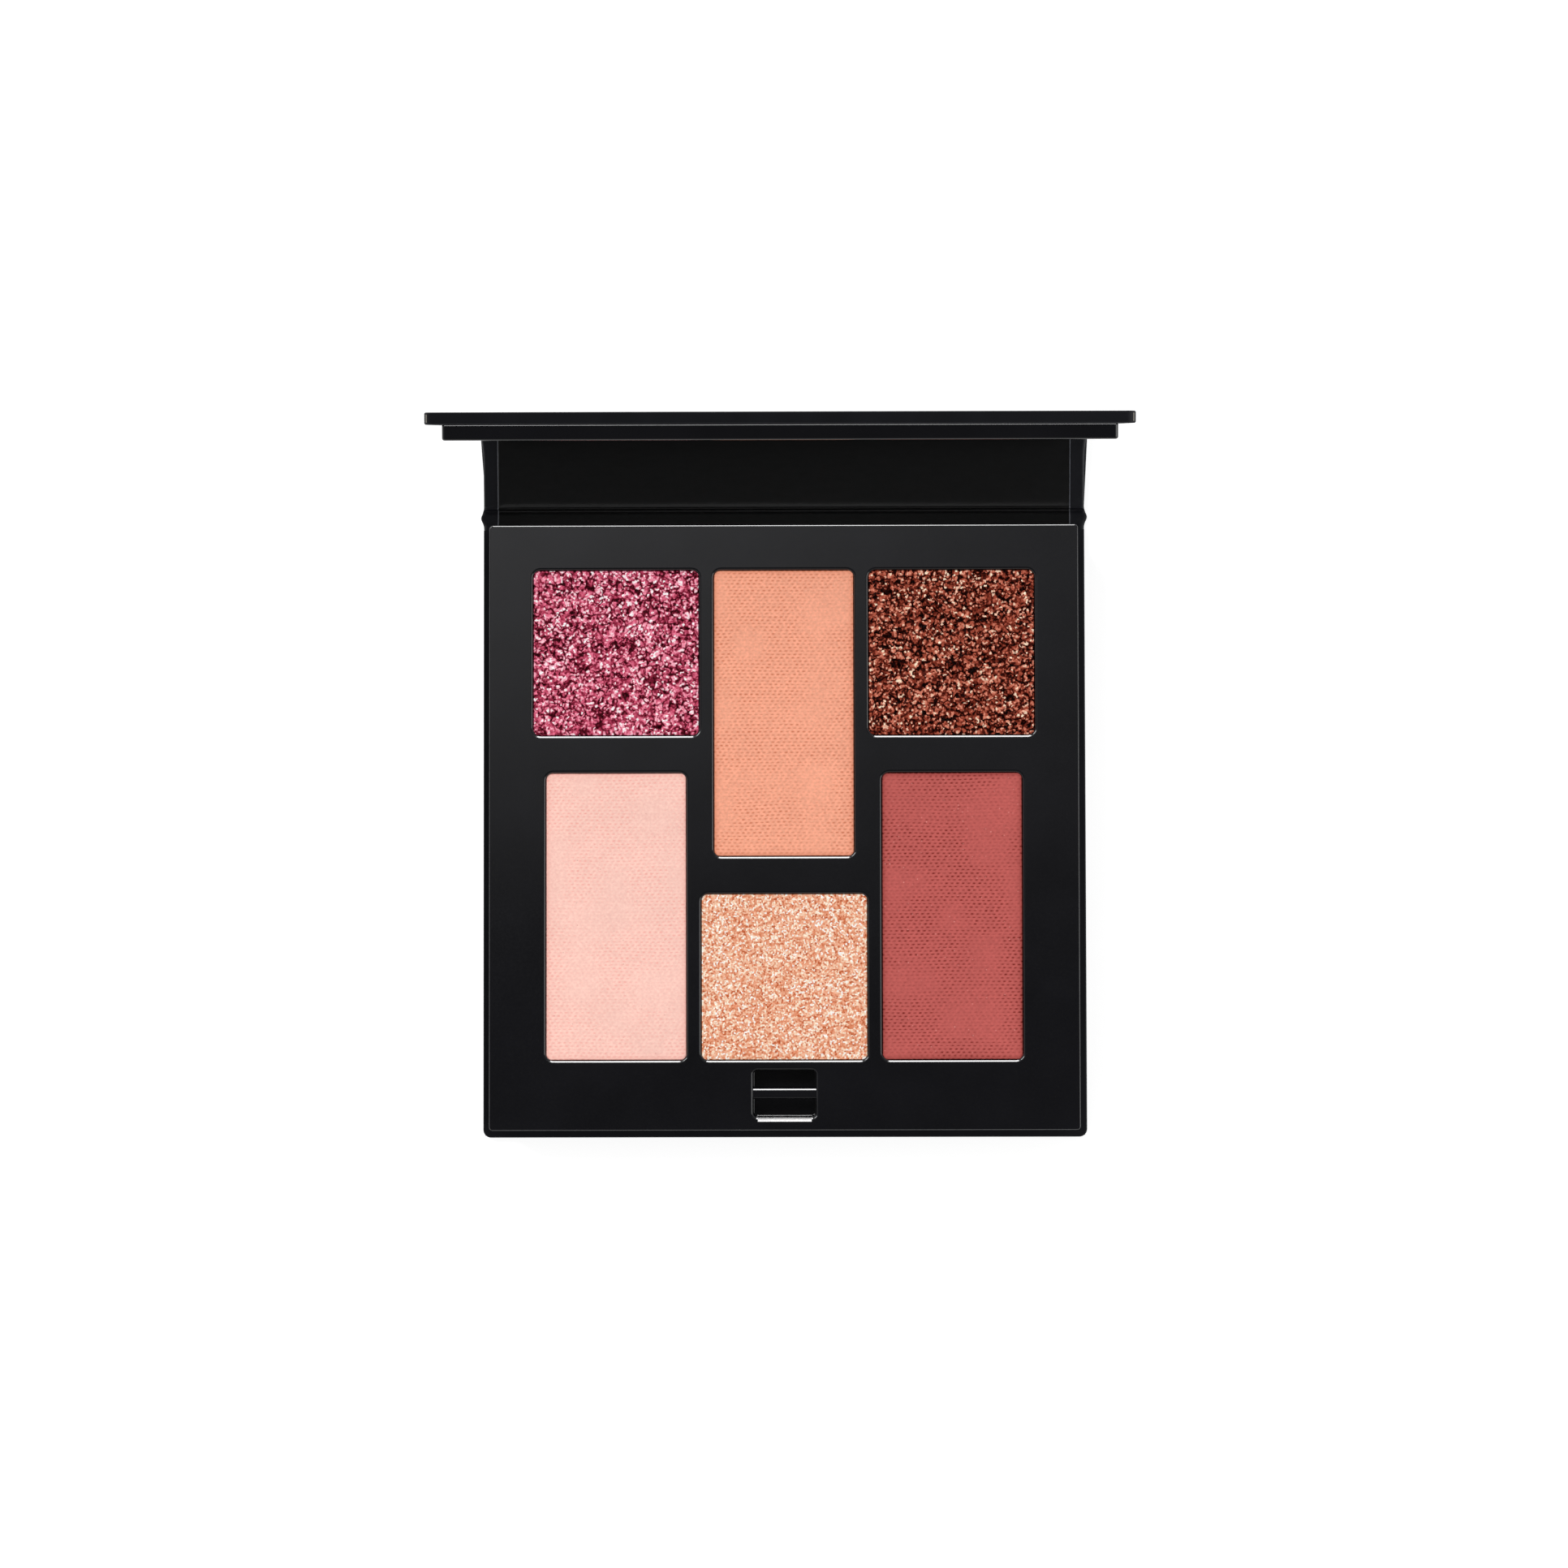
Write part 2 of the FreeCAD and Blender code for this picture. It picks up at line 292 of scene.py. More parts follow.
def greyboard():
    """Recycled greyboard, pressed: pulp flecks on a brown grey."""
    made, tree, shader, place = new_material("recycled_greyboard")
    fleck = node(tree, "ShaderNodeTexNoise", {"Vector": place, "Scale": per_mm(0.5), "Detail": 6.0})
    tint = node(tree, "ShaderNodeValToRGB", {"Fac": fleck.outputs["Fac"]},
                ramp=[(0.3, linear("#8a867d")), (0.6, linear("#a8a399")), (0.75, linear("#6d6a63"))])
    bump = node(tree, "ShaderNodeBump",
                {"Height": fleck.outputs["Fac"], "Strength": 0.3, "Distance": 0.03 * MM})
    tree.links.new(tint.outputs["Color"], shader.inputs["Base Color"])
    tree.links.new(bump.outputs["Normal"], shader.inputs["Normal"])
    shader.inputs["Roughness"].default_value = 0.9
    return made


def glue_film():
    """Transfer adhesive, coated: a dull dark amber film with small voids."""
    made, tree, shader, place = new_material("transfer_adhesive")
    voids = node(tree, "ShaderNodeTexVoronoi", {"Vector": place, "Scale": per_mm(1.5)})
    tint = node(tree, "ShaderNodeValToRGB", {"Fac": voids.outputs["Distance"]},
                ramp=[(0.1, linear("#2e2b25")), (0.7, linear("#45413a"))])
    tree.links.new(tint.outputs["Color"], shader.inputs["Base Color"])
    shader.inputs["Roughness"].default_value = 0.55
    return made


# Moulded and metal materials

def piano_black():
    """ABS moulded in a polished tool: deep black, mirror-like, with faint flow unevenness and dust."""
    made, tree, shader, place = new_material("polished_black_abs")
    base = tuple(colours().moulding)
    flow = node(tree, "ShaderNodeTexNoise", {"Vector": place, "Scale": per_mm(9.0), "Detail": 2.0})
    dust = node(tree, "ShaderNodeTexNoise", {"Vector": place, "Scale": per_mm(0.3), "Detail": 5.0})
    tint = node(tree, "ShaderNodeValToRGB", {"Fac": flow.outputs["Fac"]},
                ramp=[(0.3, shade(base, 0.85)), (0.7, shade(base, 1.2))])
    rough = node(tree, "ShaderNodeMapRange",
                 {"Value": dust.outputs["Fac"], "From Min": 0.35, "From Max": 0.75,
                  "To Min": 0.1, "To Max": 0.16})
    bump = node(tree, "ShaderNodeBump",
                {"Height": flow.outputs["Fac"], "Strength": 0.05, "Distance": 0.05 * MM})
    tree.links.new(tint.outputs["Color"], shader.inputs["Base Color"])
    tree.links.new(rough.outputs["Result"], shader.inputs["Roughness"])
    tree.links.new(bump.outputs["Normal"], shader.inputs["Normal"])
    shader.inputs["IOR"].default_value = 1.54
    return made


def tinplate():
    """Tinplate, deep drawn: satin grey metal with drawing lines up the walls."""
    made, tree, shader, place = new_material("drawn_tinplate")
    squeeze = node(tree, "ShaderNodeMapping", {"Vector": place, "Scale": (1.0, 1.0, 0.08)})
    lines = node(tree, "ShaderNodeTexNoise",
                 {"Vector": squeeze.outputs["Vector"], "Scale": per_mm(0.25), "Detail": 3.0})
    tint = node(tree, "ShaderNodeValToRGB", {"Fac": lines.outputs["Fac"]},
                ramp=[(0.3, linear("#b4b5b4")), (0.7, linear("#d3d4d2"))])
    rough = node(tree, "ShaderNodeMapRange",
                 {"Value": lines.outputs["Fac"], "From Min": 0.3, "From Max": 0.7,
                  "To Min": 0.28, "To Max": 0.42})
    tree.links.new(tint.outputs["Color"], shader.inputs["Base Color"])
    tree.links.new(rough.outputs["Result"], shader.inputs["Roughness"])
    shader.inputs["Metallic"].default_value = 1.0
    return made


def silvered_glass():
    """Float glass, silvered: a clear mirror with a trace of wiping haze."""
    made, tree, shader, place = new_material("silvered_float_glass")
    haze = node(tree, "ShaderNodeTexNoise", {"Vector": place, "Scale": per_mm(14.0), "Detail": 3.0})
    rough = node(tree, "ShaderNodeMapRange",
                 {"Value": haze.outputs["Fac"], "From Min": 0.35, "From Max": 0.75,
                  "To Min": 0.01, "To Max": 0.035})
    tint = node(tree, "ShaderNodeValToRGB", {"Fac": haze.outputs["Fac"]},
                ramp=[(0.3, linear("#eef1f1")), (0.7, linear("#e6eae9"))])
    tree.links.new(tint.outputs["Color"], shader.inputs["Base Color"])
    tree.links.new(rough.outputs["Result"], shader.inputs["Roughness"])
    shader.inputs["Metallic"].default_value = 1.0
    return made


# Powder materials

def matte_powder(name, colour, dimple, fleck, amount):
    """Pressed talc and pigment, cloth-pressed: chalky, darker in dimples, painted edge shade, a few odd
    grains.
    """
    made, tree, shader, place = new_material(name)
    cloud = node(tree, "ShaderNodeTexNoise", {"Vector": place, "Scale": per_mm(6.0), "Detail": 3.0})
    # Grit is far finer than this; drawn coarse enough to show
    grain = node(tree, "ShaderNodeTexNoise", {"Vector": place, "Scale": per_mm(0.3), "Detail": 3.0})
    # press holds the dimples plus painted shade along the cake's edges; both take the dimple colour
    press = node(tree, "ShaderNodeAttribute", attribute_name="press")
    body = node(tree, "ShaderNodeValToRGB", {"Fac": grain.outputs["Fac"]},
                ramp=[(0.3, shade(colour, 0.9)), (0.7, shade(colour, 1.1))])
    pressed = node(tree, "ShaderNodeMix",
                   {"Factor": press.outputs["Fac"], COLOUR_A: body.outputs["Color"], COLOUR_B: (*dimple, 1)},
                   data_type="RGBA")
    soft = node(tree, "ShaderNodeMapRange",
                {"Value": cloud.outputs["Fac"], "From Min": 0.3, "From Max": 0.7,
                 "To Min": 0.97, "To Max": 1.03})
    clouded = node(tree, "ShaderNodeMix",
                   {"Factor": 1.0, COLOUR_A: pressed.outputs[COLOUR_OUT], COLOUR_B: soft.outputs["Result"]},
                   data_type="RGBA", blend_type="MULTIPLY")
    # Light flecks on orange and red are painted glints; the pale pink's dark flecks are odd grains
    cells = node(tree, "ShaderNodeTexVoronoi", {"Vector": place, "Scale": per_mm(0.6)})
    point = node(tree, "ShaderNodeMapRange", {"Value": cells.outputs["Distance"], "From Min": 0.07,
                                              "From Max": 0.16, "To Min": amount, "To Max": 0.0})
    pick = node(tree, "ShaderNodeSeparateColor", {0: cells.outputs["Color"]})
    few = node(tree, "ShaderNodeMapRange", {"Value": pick.outputs[0], "From Min": 0.65, "From Max": 1.2})
    share = node(tree, "ShaderNodeMath", {0: point.outputs["Result"], 1: few.outputs["Result"]},
                 operation="MULTIPLY")
    lit = node(tree, "ShaderNodeMix",
               {"Factor": share.outputs[0], COLOUR_A: clouded.outputs[COLOUR_OUT], COLOUR_B: (*fleck, 1)},
               data_type="RGBA")
    bump = node(tree, "ShaderNodeBump",
                {"Height": grain.outputs["Fac"], "Strength": 0.35, "Distance": 0.03 * MM})
    tree.links.new(lit.outputs[COLOUR_OUT], shader.inputs["Base Color"])
    tree.links.new(bump.outputs["Normal"], shader.inputs["Normal"])
    shader.inputs["Roughness"].default_value = 0.9
    shader.inputs["Specular IOR Level"].default_value = 0.2
    return made


def glitter_powder(name, stops, metallic, roughness):
    """Coated mica flakes, pressed with a binder: painted glints on the brightest facets, painted shade in
    cracks.
    """
    made, tree, shader, _ = new_material(name)
    tone = node(tree, "ShaderNodeAttribute", attribute_name="tone")
    # The ramp's darkest stops are painted shade in the cracks, its white top painted glints
    body = node(tree, "ShaderNodeValToRGB", {"Fac": tone.outputs["Fac"]}, ramp=stops)
    tree.links.new(body.outputs["Color"], shader.inputs["Base Color"])
    shader.inputs["Metallic"].default_value = metallic
    shader.inputs["Roughness"].default_value = roughness
    shader.inputs["Specular IOR Level"].default_value = 0.05
    return made


# Powder cakes

def lattice(x, y, cell, rng_seed):
    """Smooth noise from 0 to 1 with features about one cell wide."""
    rng = np.random.default_rng(rng_seed)
    table = rng.random((NOISE_ROWS, NOISE_COLUMNS))
    u, v = x / cell, y / cell
    i, j = np.floor(u).astype(int), np.floor(v).astype(int)
    fu, fv = u - i, v - j
    fu, fv = fu * fu * (3 - 2 * fu), fv * fv * (3 - 2 * fv)
    row, row_after = i % NOISE_ROWS, (i + 1) % NOISE_ROWS
    column, column_after = j % NOISE_COLUMNS, (j + 1) % NOISE_COLUMNS
    a, b = table[row, column], table[row_after, column]
    c, d = table[row, column_after], table[row_after, column_after]
    return (a * (1 - fu) + b * fu) * (1 - fv) + (c * (1 - fu) + d * fu) * fv


def scatter(x, y, cell, rng_seed):
    """Nearest point of a jittered grid: offset to it, distance, distance to the next, and its index."""
    rng = np.random.default_rng(rng_seed)
    jitter = rng.random((SPOT_ROWS, SPOT_COLUMNS, 2))
    i, j = np.floor(x / cell).astype(int), np.floor(y / cell).astype(int)
    best = np.full(x.shape, np.inf)
    second = np.full(x.shape, np.inf)
    dx, dy, index = np.zeros(x.shape), np.zeros(x.shape), np.zeros(x.shape, int)
    for a in (-1, 0, 1):
        for b in (-1, 0, 1):
            row, column = (i + a) % SPOT_ROWS, (j + b) % SPOT_COLUMNS
            spot = jitter[row, column]
            ox = x - (i + a + spot[..., 0]) * cell
            oy = y - (j + b + spot[..., 1]) * cell
            dist = np.hypot(ox, oy)
            near = dist < best
            second = np.where(near, best, np.minimum(second, dist))
            dx, dy = np.where(near, ox, dx), np.where(near, oy, dy)
            index = np.where(near, row * SPOT_COLUMNS + column, index)
            best = np.where(near, dist, best)
    return dx, dy, best, second, index


def cake_grid(name, across, down):
    """Points over a cake's top, following its rounded corners and soft edge; rows run along Y."""
    corner, edge, margin = 0.66 * MM, 0.07 * MM, 0.25 * MM
    lo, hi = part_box(name)
    half_x, half_y = (hi.x - lo.x) / 2, (hi.y - lo.y) / 2
    turn = np.radians([0, 12, 24, 36, 50, 64, 78])
    ends = corner * (1 - np.cos(turn))
    insets = corner * (1 - np.sin(turn))
    run = np.linspace(corner, 2 * half_y - corner, max(2, round((2 * half_y - 2 * corner) / down)) + 1)
    rows = np.concatenate([ends, run, (2 * half_y - ends)[::-1]]) - half_y
    inset = np.concatenate([insets, np.zeros(len(run)), insets[::-1]])
    near = np.array([0, 0.03, 0.08, 0.15]) * MM
    middle = np.linspace(margin, 2 * half_x - margin, round(2 * half_x / across))
    columns = np.concatenate([near, middle, (2 * half_x - near)[::-1]]) - half_x
    y = np.repeat(rows[:, None], len(columns), 1)
    x = columns[None, :] * ((half_x - inset) / half_x)[:, None]
    wall = np.minimum(half_x - inset[:, None] - np.abs(x), half_y - np.abs(y))
    drop = np.where(wall < edge, edge - np.sqrt(np.maximum(edge ** 2 - (edge - wall) ** 2, 0)), 0)
    return x, y, wall, drop, (lo, hi)


def cake_mesh(name, x, y, top, lo, hi, material, replaced):
    """Closes a relief into a cake with straight sides and a flat foot."""
    rows, columns = x.shape
    mid_x, mid_y = (lo.x + hi.x) / 2, (lo.y + hi.y) / 2
    crown = np.stack([x + mid_x, y + mid_y, top], -1).reshape(-1, 3)
    at = np.arange(rows * columns).reshape(rows, columns)
    quads = np.stack([at[:-1, :-1], at[:-1, 1:], at[1:, 1:], at[1:, :-1]], -1).reshape(-1, 4)
    ring = np.concatenate([at[0, :], at[1:, -1], at[-1, -2::-1], at[-2:0:-1, 0]])
    foot = crown[ring].copy()
    foot[:, 2] = lo.z
    below = np.arange(len(ring)) + rows * columns
    sides = np.stack([ring, below, np.roll(below, -1), np.roll(ring, -1)], -1)
    faces = quads.tolist() + sides.tolist() + [below[::-1].tolist()]
    made = piece(name, np.concatenate([crown, foot]), faces, [material], replaced, "base")
    return made, len(quads)


def set_values(mesh, name, domain, values):
    """Stores one number per point or face, which a material reads."""
    mesh.attributes.new(name, "FLOAT", domain).data.foreach_set("value", np.asarray(values, np.float32))


def press_cake(name, material, rng_seed):
    """A matte cake: cloth-pressed top with staggered short dimples that come and go in patches, and painted
    shade along its edges.
    """
    s = sizes()
    step_across, step_down, sunk, edge_shade_reach = 0.16 * MM, 0.1 * MM, 0.03 * MM, 0.3 * MM
    dash_across, dash_down, patch_shift = 0.26 * MM, 0.11 * MM, 9 * MM
    wave_run, patch_run, loose_run, swell_run, grit_run = 6 * MM, 4.5 * MM, 0.5 * MM, 7 * MM, 0.21 * MM
    wave_size, swell_size, grit_size = 0.25 * MM, 0.05 * MM, 0.012 * MM
    x, y, wall, drop, (lo, hi) = cake_grid(name, step_across, step_down)
    wave = (lattice(x, y, wave_run, rng_seed) - 0.5) * wave_size
    row = (y + wave) / s.press_down
    line = np.floor(row)
    along = x / s.press_across + 0.5 * (line % 2) + 0.12 * np.sin(line * 1.7 + rng_seed)
    u = (along - np.floor(along) - 0.5) * s.press_across
    v = (row - line - 0.5) * s.press_down
    dash = np.clip(1 - (u / dash_across) ** 2 - (v / dash_down) ** 2, 0, 1)
    patch = np.clip(1.6 * lattice(x + patch_shift, y, patch_run, rng_seed + 1) - 0.1, 0.3, 1)
    loose = lattice(x, y, loose_run, rng_seed + 2)
    dash = dash * patch * (0.45 + loose)
    swell = (lattice(x, y, swell_run, rng_seed + 3) - 0.5) * swell_size
    grit = (lattice(x, y, grit_run, rng_seed + 4) - 0.5) * grit_size
    top = hi.z - sunk - drop - s.press_depth * dash + swell + grit
    made, _ = cake_mesh(name + "_pressed", x, y, top, lo, hi, material, name)
    values = np.zeros(len(made.data.vertices))
    # Dimples, plus painted shade that darkens the cake towards its edges
    values[:x.size] = np.clip(1.15 * dash + 0.6 * np.exp(-wall / edge_shade_reach), 0, 1).ravel()
    set_values(made.data, "press", "POINT", values)
    made.data.shade_smooth()


def flake_cake(name, material, rng_seed, flake, clump, relief, tilt, weights):
    """A glitter cake: flat flakes at all angles, heaped in ragged clumps, with painted shade in the cracks.

    The weights say how much flake, clump, slow drift and crack count in a flake's tone. Real flakes are
    finer; these are drawn coarse enough to show.
    """
    step, proud, calm_run, crack_run, drift_run = 0.1 * MM, 0.05 * MM, 0.4 * MM, 1.1 * MM, 1.7 * MM
    x, y, wall, drop, (lo, hi) = cake_grid(name, step, step)
    rng = np.random.default_rng(rng_seed)
    lean = rng.normal(0, tilt, (SPOTS, 2))
    lift = rng.random(SPOTS)
    tones = rng.random(SPOTS)
    heaps = rng.random(SPOTS)

    def heap(px, py):
        """The clump at each point, and how deep the crack there is, from 0 to 1."""
        ragged_x = px + 0.8 * clump * (lattice(px, py, 0.45 * clump, rng_seed + 4) - 0.5)
        ragged_y = py + 0.8 * clump * (lattice(px, py, 0.45 * clump, rng_seed + 5) - 0.5)
        _, _, near, second, index = scatter(ragged_x, ragged_y, clump, rng_seed + 2)
        opened = np.clip(2.2 * lattice(px, 1.8 * py, crack_run, rng_seed + 6) - 0.35, 0, 1)
        return index, np.clip(1 - (second - near) / (0.26 * clump), 0, 1) * opened

    dx, dy, _, _, index = scatter(x, y, flake, rng_seed + 1)
    plate = lean[index, 0] * dx + lean[index, 1] * dy + (lift[index] - 0.5) * 0.25 * flake
    calm = np.clip(wall / calm_run, 0, 1)
    top = hi.z - drop - relief * heap(x, y)[1] + plate * calm
    top = np.minimum(top, hi.z + proud)
    made, count = cake_mesh(name + "_flakes", x, y, top, lo, hi, material, name)
    cx = (x[:-1, :-1] + x[1:, 1:]) / 2
    cy = (y[:-1, :-1] + y[1:, 1:]) / 2
    face_index = scatter(cx, cy, flake, rng_seed + 1)[4]
    face_heap, crack = heap(cx, cy)
    drift = lattice(cx, cy, drift_run, rng_seed + 3)
    # The crack term is painted shade; the top ranks take the ramp's white, painted glints
    shares = (tones[face_index], heaps[face_heap], drift, -crack)
    tone = sum(weight * share for weight, share in zip(weights, shares)).ravel()
    level = np.empty(count)
    level[np.argsort(tone, kind="stable")] = np.linspace(0, 1, count)
    faces = np.full(len(made.data.polygons), 0.2)
    faces[:count] = level
    set_values(made.data, "tone", "FACE", faces)


# Folded wrap

def fold_frame():
    """The two fold axes, and the directions along the spine and up from it, as (Y, Z)."""
    base, lid = [np.array(joint["pos_m"][1:]) for joint in frame["record"]["behaviour"]["joints"]]
    along = (lid - base) / np.linalg.norm(lid - base)
    return base, lid, along, np.array([-along[1], along[0]])


def rounded_path(points, count):
    """Even steps along a path through the given points, with its corners eased; millimetres to metres."""
    given = np.array(points, float) * MM
    way = np.concatenate([[0], np.cumsum(np.hypot(*np.diff(given, axis=0).T))])
    at = np.linspace(0, way[-1], count)
    path = np.stack([np.interp(at, way, given[:, 0]), np.interp(at, way, given[:, 1])], -1)
    for _ in range(3):
        path[1:-1] = (path[:-2] + 2 * path[1:-1] + path[2:]) / 4
    return path


def paper_strip(name, upper, lower, half, ease, knot, bead, materials, replaced, body=None):
    """A strip of wrap across the palette, lofted from its inner and outer outlines.

    Its ends are eased over a length, and gather into a knot: (Y, Z), spread, height. The liner's cut edge
    is a bead at a distance from the middle, with the liner's material inside it and the wrap's outside.
    """
    spot, spread, height = knot
    end_run, gather, crease_run, wave_run = 1.5 * MM, 1.4 * MM, 0.9 * MM, 2.6 * MM
    bead_width, bead_height, highlight_width = 0.1 * MM, 0.07 * MM, 0.045 * MM
    count = len(upper)
    middle = (upper + lower[::-1]) / 2
    lift = (upper - lower[::-1]).mean(0)
    lift = lift / np.linalg.norm(lift)
    ring = np.concatenate([upper, lower])
    core = np.concatenate([middle, middle[::-1]])
    near = np.exp(-((ring - spot) ** 2).sum(1) / spread ** 2)
    end = half - end_run * np.linspace(1, 0, 22) ** 1.6
    line = bead + np.linspace(-0.2, 0.2, 9) * MM
    run = np.linspace(0, half - end_run, 130)
    right = np.unique(np.round(np.concatenate([run, line[line < half], end]), 8))
    places = np.concatenate([-right[:0:-1], right])
    rings = []
    for x in places:
        close = max(0.0, half - abs(x))
        plump = 0.1 + 0.9 * math.sqrt(1 - (1 - min(close / ease, 1)) ** 2)
        bulge = max(0.0, 1 - close / gather) ** 1.5
        shape = core + (ring - core) * plump
        crease = lattice(np.full(2 * count, x), ring[:, 0], crease_run, SEED + 70) - 0.5
        wave = lattice(np.full(2 * count, x), ring[:, 0], wave_run, SEED + 71) - 0.5
        rise = 0.02 * MM * wave + (0.015 + 0.1 * bulge) * MM * crease + 0.5 * height * near * bulge
        rise = rise + bead_height * math.exp(-((abs(x) - bead) / bead_width) ** 2)
        rise[count:] = 0
        shape = shape + rise[:, None] * lift
        reach = x + math.copysign(1, x) * height * near * bulge
        rings.append(np.column_stack([reach, shape]))
    rings = np.array(rings)
    around = 2 * count
    at = np.arange(len(places) * around).reshape(len(places), around)
    after = np.roll(at, -1, 1)
    sides = np.stack([at[:-1], at[1:], after[1:], after[:-1]], -1).reshape(-1, 4)
    faces = sides.tolist() + [at[0].tolist(), at[-1].tolist()]
    made = piece(name, rings.reshape(-1, 3), faces, materials, replaced, body)
    across = np.abs(places[:-1] + places[1:])[:, None] / 2 + np.zeros((1, around))
    inside = np.arange(around)[None, :] < count - 1
    kind = np.where(inside & (across < bead), 1, 0)
    # Kind 2 is the thin line painted as a highlight along the liner's cut edge
    kind = np.where(inside & (np.abs(across - bead) < highlight_width), 2, kind)
    made.data.polygons.foreach_set("material_index", np.append(kind.ravel(), [0, 0]).astype(np.int32))
    made.data.shade_smooth()
    return made


# Operators

class PALETTE_OT_stage(bpy.types.Operator):
    """Floor, lamps, world and the camera of the photograph"""
    bl_idname = "palette.stage"
    bl_label = "Stage"

    def execute(self, context):
        scene = context.scene
        scene.view_settings.view_transform = "Standard"

        mesh = bpy.data.meshes.new("floor")
        corners = [(x * FLOOR_REACH, y * FLOOR_REACH, 0) for x, y in ((-1, -1), (1, -1), (1, 1), (-1, 1))]
        mesh.from_pydata(corners, [], [(0, 1, 2, 3)])
        floor = bpy.data.objects.new("floor", mesh)
        floor.location.z = -FLOOR_DROP
        scene.collection.objects.link(floor)
        paper = bpy.data.materials.new("white_sweep_paper")
        paper.use_nodes = True
        tree = paper.node_tree
        tree.nodes.clear()
        path = node(tree, "ShaderNodeLightPath")
        direct = node(tree, "ShaderNodeMath", {0: path.outputs["Is Camera Ray"],
                                               1: path.outputs["Is Glossy Ray"]}, operation="MAXIMUM")
        seen = node(tree, "ShaderNodeMath", {0: direct.outputs[0], 1: path.outputs["Is Transmission Ray"]},
                    operation="MAXIMUM")
        matte = node(tree, "ShaderNodeBsdfDiffuse", {"Color": (FLOOR_GREY, FLOOR_GREY, FLOOR_GREY, 1)})
        lift = node(tree, "ShaderNodeMath", {0: seen.outputs[0], 1: FLOOR_GLOW}, operation="MULTIPLY")
        glow = node(tree, "ShaderNodeEmission", {"Color": (1, 1, 1, 1), "Strength": lift.outputs[0]})
        both = node(tree, "ShaderNodeAddShader", {0: matte.outputs[0], 1: glow.outputs[0]})
        node(tree, "ShaderNodeOutputMaterial", {"Surface": both.outputs[0]})
        mesh.materials.append(paper)

        self.world(scene)
        nodes = frame["nodes"]
        lid = [nodes[n] for n in nodes if nodes[n]["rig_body"] == "lid"]
        lit = [o for o in scene.objects if o.name.startswith(("powder_", "pan_", "tray", "floor"))]
        # The key lights the tray and what is in it, past the lid
        key = self.lamp("key")
        self.link(key, "receiver_collection", lit, "INCLUDE")
        self.link(key, "blocker_collection", lid, "EXCLUDE")
        self.lamp("fill")
        # Lamps for the gloss black and the pans: a strip and a band for edges that face the hinge, and a
        # graded panel for the tray
        strip = self.lamp("strip")
        strip.rotation_euler = (math.radians(90), 0, math.radians(180))
        band = self.lamp("band")
        panel = self.lamp("panel")
        panel.rotation_euler = (0, 0, 0)
        self.grade(panel.data)
        for made, shown in ((strip, ["tray", *pan_names()]), (band, ["mirror_frame"]), (panel, ["tray"])):
            self.link(made, "receiver_collection", [nodes[n] for n in shown], "INCLUDE")
            self.link(made, "blocker_collection", lid, "EXCLUDE")
        # A dim light from above for the spine, which the lid shades at the back
        above = self.lamp("above")
        papers = [o for o in scene.objects if o.name.startswith(("spine_", "base_fold"))]
        self.link(above, "receiver_collection", papers, "INCLUDE")

        camera = bpy.data.cameras.new("camera")
        camera.lens = LENS
        camera.sensor_width = FILM
        camera.clip_start = 0.01
        view = bpy.data.objects.new("camera", camera)
        view.location = [place * MM for place in CAMERA_PLACE]
        view.rotation_euler = [math.radians(turn) for turn in CAMERA_TURN]
        scene.collection.objects.link(view)
        scene.camera = view
        return {"FINISHED"}

    def lamp(self, name):
        """A softbox aimed at the tray; radiance is what a mirror would show of it."""
        place, width, height, radiance = LAMPS[name]
        data = bpy.data.lights.new(name, "AREA")
        data.shape = "RECTANGLE"
        data.size, data.size_y = width, height
        data.energy = radiance * math.pi * width * height
        made = bpy.data.objects.new(name, data)
        made.location = place
        aim = Vector((0, 0, 0.01)) - made.location
        made.rotation_euler = aim.to_track_quat("-Z", "Y").to_euler()
        bpy.context.scene.collection.objects.link(made)
        return made

    def link(self, lamp, kind, members, state):
        """Limits which objects a lamp lights, or which ones throw its shadow."""
        group = bpy.data.collections.new(lamp.name + "_" + kind)
        for member in members:
            group.objects.link(member)
        for entry in group.collection_objects:
            entry.light_linking.link_state = state
        setattr(lamp.light_linking, kind, group)

    def grade(self, data):
        """Grades the overhead panel: dark towards the front, lightest at the back left."""
        data.use_nodes = True
        tree = data.node_tree
        glow = tree.nodes["Emission"]
        surface = node(tree, "ShaderNodeNewGeometry")
        spot = node(tree, "ShaderNodeSeparateXYZ", {0: surface.outputs["Parametric"]})
        back = node(tree, "ShaderNodeMapRange", {"Value": spot.outputs["Y"], "From Min": 0.16,
                                                 "From Max": 0.6, "To Min": 0.0, "To Max": 0.55})
        left = node(tree, "ShaderNodeMapRange", {"Value": spot.outputs["X"], "From Min": 0.25,
                                                 "From Max": 0.75, "To Min": 1.7, "To Max": 0.35})
        level = node(tree, "ShaderNodeMath", {0: back.outputs["Result"], 1: left.outputs["Result"]},
                     operation="MULTIPLY")
        tree.links.new(level.outputs[0], glow.inputs["Strength"])

